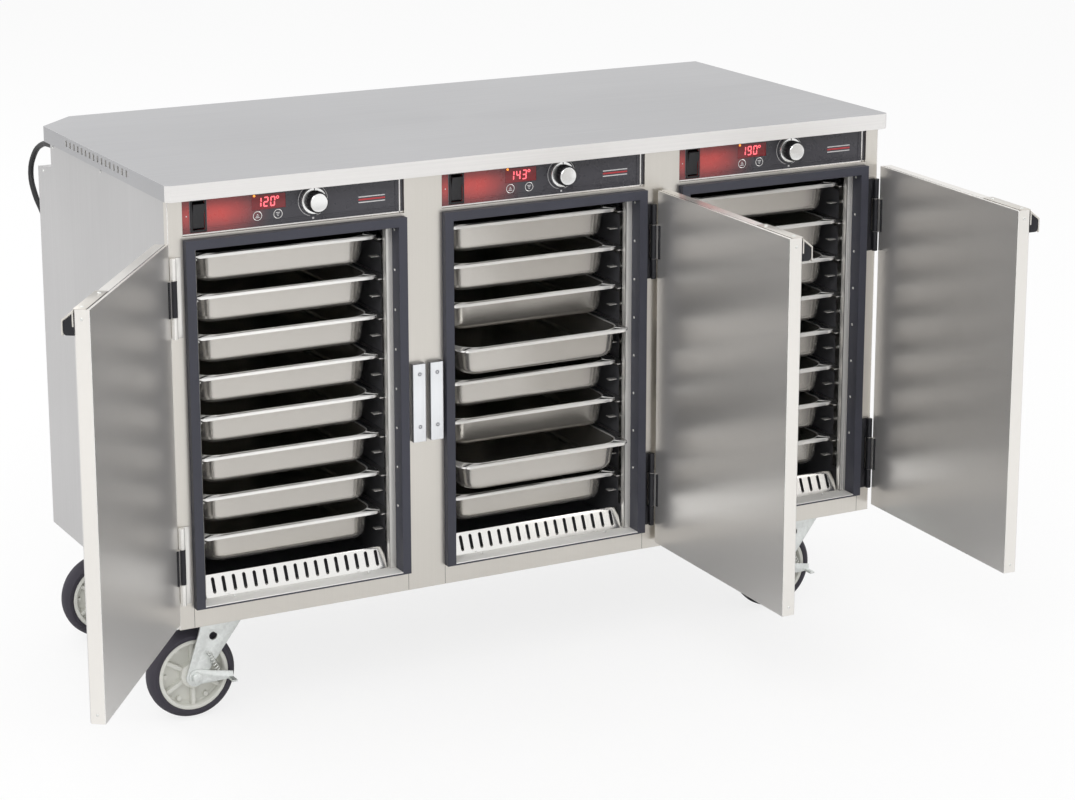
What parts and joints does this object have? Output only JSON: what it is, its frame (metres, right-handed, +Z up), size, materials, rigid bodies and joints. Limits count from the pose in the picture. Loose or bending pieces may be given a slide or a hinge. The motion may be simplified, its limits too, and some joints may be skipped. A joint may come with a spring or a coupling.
{
  "type": "heated holding cabinet",
  "caption": "Low stainless holding cabinet on swivel casters, with separate heated bays behind swinging doors, slide racks for pans, and a control fascia above each door.",
  "frame": {"origin": "centre of the cabinet base's flat underside, which the casters are fixed to", "axes": "+Z up, the doors' side faces -Y, +X along the row of bays to the right as seen from the front"},
  "size_m": [1.6458, 1.2428, 0.921],
  "materials": {
    "worktop_steel": "fine brushed",
    "side_steel": "satin",
    "frame_steel": "satin",
    "door_steel": "fine brushed",
    "base_steel": "satin",
    "lining_steel": "dull",
    "rack_steel": "satin",
    "bright_steel": "bright",
    "pan_steel": "polished",
    "zinc_steel": "zinc plated",
    "black_steel": "black",
    "gasket_rubber": "matt",
    "fascia_paint": "satin charcoal",
    "black_plastic": "satin",
    "knob_plastic": "gloss with a brushed cap",
    "cord_black": "satin",
    "tyre_rubber": "matt",
    "hub_plastic": "off-white",
    "display_glass": "dark red window",
    "indicator_amber": "lit lamp",
    "zinc_fastener": "zinc plated"
  },
  "bodies": {
    "cabinet": {"worktop": "worktop_steel", "outer_shell": "side_steel", "base_frame": "base_steel", "face_frame": "frame_steel", "lining_left": "lining_steel", "rack_left_left": "rack_steel", "rack_left_right": "rack_steel", "air_strip_left": "bright_steel", "gasket_left": "gasket_rubber", "fascia_left": "fascia_paint", "magnet_bar_left": "bright_steel", "hinge_left_lower": "black_steel", "hinge_left_upper": "black_steel", "lining_middle": "lining_steel", "rack_middle_left": "rack_steel", "rack_middle_right": "rack_steel", "air_strip_middle": "bright_steel", "gasket_middle": "gasket_rubber", "fascia_middle": "fascia_paint", "magnet_bar_middle": "bright_steel", "hinge_middle_lower": "black_steel", "hinge_middle_upper": "black_steel", "lining_right": "lining_steel", "rack_right_left": "rack_steel", "rack_right_right": "rack_steel", "air_strip_right": "bright_steel", "gasket_right": "gasket_rubber", "fascia_right": "fascia_paint", "magnet_bar_right": "bright_steel", "hinge_right_lower": "black_steel", "hinge_right_upper": "black_steel", "cord_gland": "black_plastic", "power_cord": "cord_black", "cord_coil": "cord_black", "power_plug": "black_plastic"},
    "door_left": {"door_left": "door_steel", "door_pull_left": "frame_steel"},
    "rocker_left": {"rocker_left": "black_plastic"},
    "knob_left": {"knob_left": "knob_plastic"},
    "door_middle": {"door_middle": "door_steel", "door_pull_middle": "frame_steel"},
    "rocker_middle": {"rocker_middle": "black_plastic"},
    "knob_middle": {"knob_middle": "knob_plastic"},
    "door_right": {"door_right": "door_steel", "door_pull_right": "frame_steel"},
    "rocker_right": {"rocker_right": "black_plastic"},
    "knob_right": {"knob_right": "knob_plastic"},
    "fork_front_left": {"caster_fork_front_left": "zinc_steel"},
    "wheel_front_left": {"wheel_front_left": "tyre_rubber"},
    "fork_front_right": {"caster_fork_front_right": "zinc_steel"},
    "wheel_front_right": {"wheel_front_right": "tyre_rubber"},
    "fork_rear_left": {"caster_fork_rear_left": "zinc_steel"},
    "wheel_rear_left": {"wheel_rear_left": "tyre_rubber"},
    "fork_rear_right": {"caster_fork_rear_right": "zinc_steel"},
    "wheel_rear_right": {"wheel_rear_right": "tyre_rubber"},
    "brake_front_left": {"brake_pedal_front_left": "zinc_steel"},
    "brake_front_right": {"brake_pedal_front_right": "zinc_steel"},
    "pan_upper": {"pan_upper": "pan_steel"},
    "pan_lower": {"pan_lower": "pan_steel"}
  },
  "joints": [
    {"name": "door_left_hinge", "type": "hinge", "parent": "cabinet", "child": "door_left", "pos_m": [-0.661, -0.3215, 0.325], "axis": [0, 0, -1], "range_deg": [-126, 24]},
    {"name": "rocker_left_tilt", "type": "hinge", "parent": "cabinet", "child": "rocker_left", "pos_m": [-0.613, -0.311, 0.677], "axis": [1, 0, 0], "range_deg": [-16, 0]},
    {"name": "knob_left_turn", "type": "hinge", "parent": "cabinet", "child": "knob_left", "pos_m": [-0.4175, -0.311, 0.682], "axis": [0, 1, 0], "range_deg": [0, 300]},
    {"name": "door_middle_hinge", "type": "hinge", "parent": "cabinet", "child": "door_middle", "pos_m": [0.206, -0.3215, 0.325], "axis": [0, 0, 1], "range_deg": [-89, 10]},
    {"name": "rocker_middle_tilt", "type": "hinge", "parent": "cabinet", "child": "rocker_middle", "pos_m": [-0.163, -0.311, 0.677], "axis": [1, 0, 0], "range_deg": [-16, 0]},
    {"name": "knob_middle_turn", "type": "hinge", "parent": "cabinet", "child": "knob_middle", "pos_m": [0.0325, -0.311, 0.682], "axis": [0, 1, 0], "range_deg": [0, 300]},
    {"name": "door_right_hinge", "type": "hinge", "parent": "cabinet", "child": "door_right", "pos_m": [0.661, -0.3215, 0.325], "axis": [0, 0, 1], "range_deg": [-87.5, 62.5]},
    {"name": "rocker_right_tilt", "type": "hinge", "parent": "cabinet", "child": "rocker_right", "pos_m": [0.287, -0.311, 0.677], "axis": [1, 0, 0], "range_deg": [-16, 0]},
    {"name": "knob_right_turn", "type": "hinge", "parent": "cabinet", "child": "knob_right", "pos_m": [0.4825, -0.311, 0.682], "axis": [0, 1, 0], "range_deg": [0, 300]},
    {"name": "caster_front_left_swivel", "type": "hinge", "parent": "cabinet", "child": "fork_front_left", "pos_m": [-0.568, -0.22, -0.015], "axis": [0, 0, 1], "continuous": true},
    {"name": "wheel_front_left_spin", "type": "hinge", "parent": "fork_front_left", "child": "wheel_front_left", "pos_m": [-0.616, -0.22, -0.112], "axis": [0, 1, 0], "continuous": true},
    {"name": "caster_front_right_swivel", "type": "hinge", "parent": "cabinet", "child": "fork_front_right", "pos_m": [0.568, -0.22, -0.015], "axis": [0, 0, 1], "continuous": true},
    {"name": "wheel_front_right_spin", "type": "hinge", "parent": "fork_front_right", "child": "wheel_front_right", "pos_m": [0.52, -0.22, -0.112], "axis": [0, 1, 0], "continuous": true},
    {"name": "caster_rear_left_swivel", "type": "hinge", "parent": "cabinet", "child": "fork_rear_left", "pos_m": [-0.568, 0.205, -0.015], "axis": [0, 0, 1], "continuous": true},
    {"name": "wheel_rear_left_spin", "type": "hinge", "parent": "fork_rear_left", "child": "wheel_rear_left", "pos_m": [-0.616, 0.205, -0.112], "axis": [0, 1, 0], "continuous": true},
    {"name": "caster_rear_right_swivel", "type": "hinge", "parent": "cabinet", "child": "fork_rear_right", "pos_m": [0.568, 0.205, -0.015], "axis": [0, 0, 1], "continuous": true},
    {"name": "wheel_rear_right_spin", "type": "hinge", "parent": "fork_rear_right", "child": "wheel_rear_right", "pos_m": [0.52, 0.205, -0.112], "axis": [0, 1, 0], "continuous": true},
    {"name": "brake_front_left_press", "type": "hinge", "parent": "fork_front_left", "child": "brake_front_left", "pos_m": [-0.616, -0.22, -0.112], "axis": [0, 1, 0], "range_deg": [0, 20]},
    {"name": "brake_front_right_press", "type": "hinge", "parent": "fork_front_right", "child": "brake_front_right", "pos_m": [0.52, -0.22, -0.112], "axis": [0, 1, 0], "range_deg": [0, 20]},
    {"name": "pan_upper_slide", "type": "slide", "parent": "cabinet", "child": "pan_upper", "axis": [0, -1, 0], "range_m": [-0.044, 0.376]},
    {"name": "pan_lower_slide", "type": "slide", "parent": "cabinet", "child": "pan_lower", "axis": [0, -1, 0], "range_m": [-0.044, 0.376]}
  ]
}
